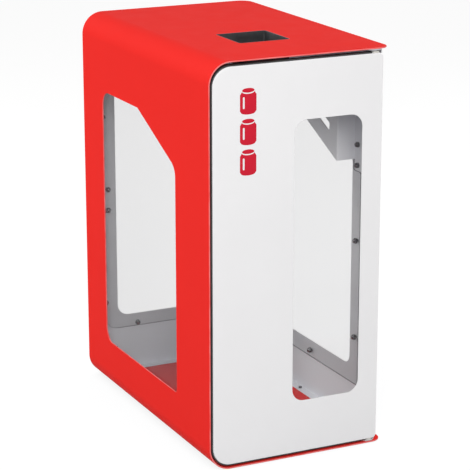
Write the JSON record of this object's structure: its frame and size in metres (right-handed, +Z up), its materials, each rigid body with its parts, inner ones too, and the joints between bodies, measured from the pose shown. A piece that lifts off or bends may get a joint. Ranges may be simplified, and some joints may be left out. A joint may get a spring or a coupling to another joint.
{
  "type": "recycling bin",
  "caption": "Tall sheet-metal recycling bin: a red wrap over top, side and floor, white hinged door, clear windows, and a square drop opening in the top.",
  "frame": {"origin": "on the floor under the middle of the bin's footprint", "axes": "+Z up, -Y towards the door, +X towards the open right side of the red wrap"},
  "size_m": [0.384, 0.62, 0.8],
  "materials": {
    "red_sheet": "smooth powder coat",
    "white_sheet": "smooth powder coat",
    "clear_pane": "clear sheet plastic",
    "fixing_steel": "plated",
    "hinge_steel": "plated",
    "black_plastic": "moulded",
    "bush_plastic": "moulded nylon",
    "magnet": "sintered"
  },
  "bodies": {
    "cabinet": {"outer_wrap": "red_sheet", "body_shell": "white_sheet", "left_pane": "clear_pane", "right_pane": "clear_pane", "rear_pane": "clear_pane", "left_bag_bracket": "white_sheet", "right_bag_bracket": "white_sheet", "bag_frame": "white_sheet", "aperture_liner": "black_plastic", "upper_hinge_plate": "hinge_steel", "lower_hinge_plate": "hinge_steel", "hinge_pins": "hinge_steel", "upper_catch": "black_plastic", "lower_catch": "black_plastic", "upper_catch_magnet": "magnet", "lower_catch_magnet": "magnet", "frame_screws": "fixing_steel", "left_pane_studs": "fixing_steel", "left_pane_nuts": "fixing_steel", "right_pane_studs": "fixing_steel", "right_pane_nuts": "fixing_steel", "rear_pane_studs": "fixing_steel", "rear_pane_nuts": "fixing_steel", "body_studs": "fixing_steel", "body_nuts": "fixing_steel", "hinge_studs": "fixing_steel", "hinge_nuts": "fixing_steel", "catch_studs": "fixing_steel", "catch_nuts": "fixing_steel", "bracket_studs": "fixing_steel", "bracket_nuts": "fixing_steel"},
    "door": {"door_panel": "white_sheet", "door_pane": "clear_pane", "door_pane_studs": "fixing_steel", "door_pane_nuts": "fixing_steel", "hinge_bushes": "bush_plastic"},
    "ring": {"bag_ring": "hinge_steel"}
  },
  "joints": [
    {"name": "door_hinge", "type": "hinge", "parent": "cabinet", "child": "door", "pos_m": [0.161, -0.301, 0.4], "axis": [0, 0, 1], "range_deg": [0, 110]},
    {"name": "ring_hinge", "type": "hinge", "parent": "cabinet", "child": "ring", "pos_m": [0, 0.088, 0.7063], "axis": [-1, 0, 0], "range_deg": [0, 15]}
  ]
}
